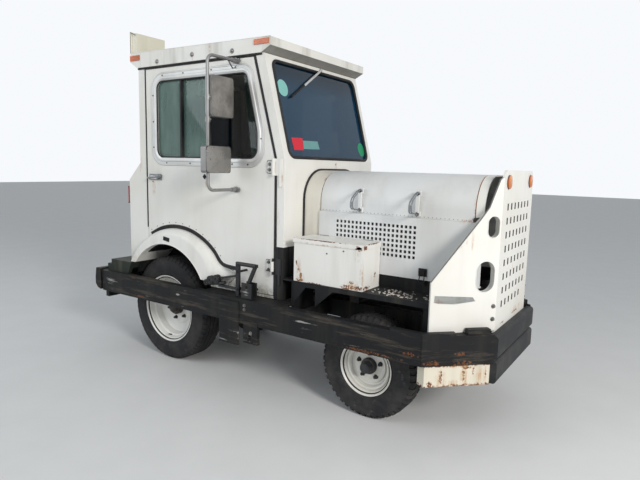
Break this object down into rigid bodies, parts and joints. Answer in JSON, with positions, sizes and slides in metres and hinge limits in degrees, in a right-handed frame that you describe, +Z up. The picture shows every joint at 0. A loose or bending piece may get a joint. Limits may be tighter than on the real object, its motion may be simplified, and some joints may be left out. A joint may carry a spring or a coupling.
{
  "type": "airport baggage tug",
  "caption": "Airport baggage tug: low steel frame between heavy side rails, closed cab over the rear axle, hinged bonnet, slotted front shield and rear towing jaw.",
  "frame": {"origin": "on the ground at the centre of the outline seen from above", "axes": "+X forward, +Y to the vehicle's left, +Z up"},
  "size_m": [2.766, 1.48, 2.138],
  "materials": {
    "cab_paint": "worn gloss",
    "bonnet_paint": "worn gloss",
    "black_steel": "scuffed satin with rust",
    "chassis_black": "matt, dusty",
    "rubber": "scuffed matt",
    "tyre": "dusty matt",
    "rim_paint": "gloss",
    "weight_paint": "rust-streaked",
    "aluminium": "oxidised",
    "tinted_glass": "clear tinted",
    "mirror_plastic": "weathered",
    "amber_lens": "gloss",
    "red_lens": "gloss",
    "cream_plastic": "gloss",
    "seat_vinyl": "satin vinyl",
    "dash_plastic": "matt",
    "cast_iron": "oily",
    "dark_deck": "dull, dirty"
  },
  "bodies": {
    "vehicle": {"chassis_frame": "chassis_black", "side_rail_right": "black_steel", "side_rail_left": "black_steel", "rear_bumper": "black_steel", "towing_jaw": "black_steel", "front_weights": "weight_paint", "front_bumper": "rubber", "front_shield": "cab_paint", "shelf_right": "chassis_black", "shelf_left": "chassis_black", "engine_block": "cast_iron", "bonnet_side_right": "bonnet_paint", "bonnet_side_left": "bonnet_paint", "bonnet_rear_band": "cab_paint", "bonnet_nose": "cab_paint", "toolbox": "cab_paint", "cab_shell": "cab_paint", "cab_floor": "dash_plastic", "roof_cap": "cab_paint", "rear_body": "cab_paint", "rear_deck": "dark_deck", "fender_right": "cab_paint", "fender_left": "cab_paint", "windscreen": "tinted_glass", "rear_window": "tinted_glass", "wiper": "black_steel", "roof_box": "cream_plastic", "marker_lamps": "amber_lens", "tail_lamps": "red_lens", "seats": "seat_vinyl", "dashboard": "dash_plastic", "front_axle": "chassis_black", "rear_axle": "chassis_black", "leaf_springs": "chassis_black"},
    "bonnet_lid": {"bonnet_lid": "bonnet_paint"},
    "toolbox_lid": {"toolbox_lid": "cab_paint"},
    "door_right": {"door_right": "cab_paint", "door_window_right": "aluminium", "mirrors_right": "mirror_plastic", "side_linkage": "black_steel"},
    "door_left": {"door_left": "cab_paint", "door_window_left": "aluminium", "mirrors_left": "mirror_plastic"},
    "steering_wheel": {"steering_wheel": "dash_plastic"},
    "knuckle_right": {"knuckle_right": "cast_iron"},
    "knuckle_left": {"knuckle_left": "cast_iron"},
    "front_wheel_right": {"front_rim_right": "rim_paint", "front_tyre_right": "tyre"},
    "front_wheel_left": {"front_rim_left": "rim_paint", "front_tyre_left": "tyre"},
    "rear_wheel_right": {"rear_rim_right": "rim_paint", "rear_tyre_right": "tyre"},
    "rear_wheel_left": {"rear_rim_left": "rim_paint", "rear_tyre_left": "tyre"}
  },
  "joints": [
    {"name": "rear_wheel_right_spin", "type": "hinge", "parent": "vehicle", "child": "rear_wheel_right", "pos_m": [-0.743, -0.383, 0.345], "axis": [0, 1, 0], "continuous": true},
    {"name": "rear_wheel_left_spin", "type": "hinge", "parent": "vehicle", "child": "rear_wheel_left", "pos_m": [-0.743, 0.383, 0.345], "axis": [0, 1, 0], "continuous": true},
    {"name": "steer_right", "type": "hinge", "parent": "vehicle", "child": "knuckle_right", "pos_m": [0.742, -0.3, 0.274], "axis": [0, 0, 1], "range_deg": [-27, 27]},
    {"name": "steer_left", "type": "hinge", "parent": "vehicle", "child": "knuckle_left", "pos_m": [0.742, 0.3, 0.274], "axis": [0, 0, 1], "range_deg": [-27, 27]},
    {"name": "steering_wheel_turn", "type": "hinge", "parent": "vehicle", "child": "steering_wheel", "pos_m": [-0.043, 0.208, 1.24], "axis": [-0.5736, 0, 0.8192], "range_deg": [-378, 378]},
    {"name": "front_wheel_right_spin", "type": "hinge", "parent": "knuckle_right", "child": "front_wheel_right", "pos_m": [0.742, -0.366, 0.274], "axis": [0, 1, 0], "continuous": true},
    {"name": "front_wheel_left_spin", "type": "hinge", "parent": "knuckle_left", "child": "front_wheel_left", "pos_m": [0.742, 0.366, 0.274], "axis": [0, 1, 0], "continuous": true},
    {"name": "door_right_hinge", "type": "hinge", "parent": "vehicle", "child": "door_right", "pos_m": [0.166, -0.499, 0.747], "axis": [0, 0, 1], "range_deg": [0, 70]},
    {"name": "door_left_hinge", "type": "hinge", "parent": "vehicle", "child": "door_left", "pos_m": [0.166, 0.499, 0.747], "axis": [0, 0, -1], "range_deg": [0, 70]},
    {"name": "bonnet_lid_hinge", "type": "hinge", "parent": "vehicle", "child": "bonnet_lid", "pos_m": [0.787, 0.308, 1.067], "axis": [-1, 0, 0], "range_deg": [0, 75]},
    {"name": "toolbox_lid_hinge", "type": "hinge", "parent": "vehicle", "child": "toolbox_lid", "pos_m": [0.526, -0.314, 0.9233], "axis": [-1, 0, 0], "range_deg": [0, 75]}
  ],
  "couplings": [
    {"joint": "steer_left", "follows": "steer_right", "ratio": 1},
    {"joint": "steering_wheel_turn", "follows": "steer_right", "ratio": 14}
  ]
}
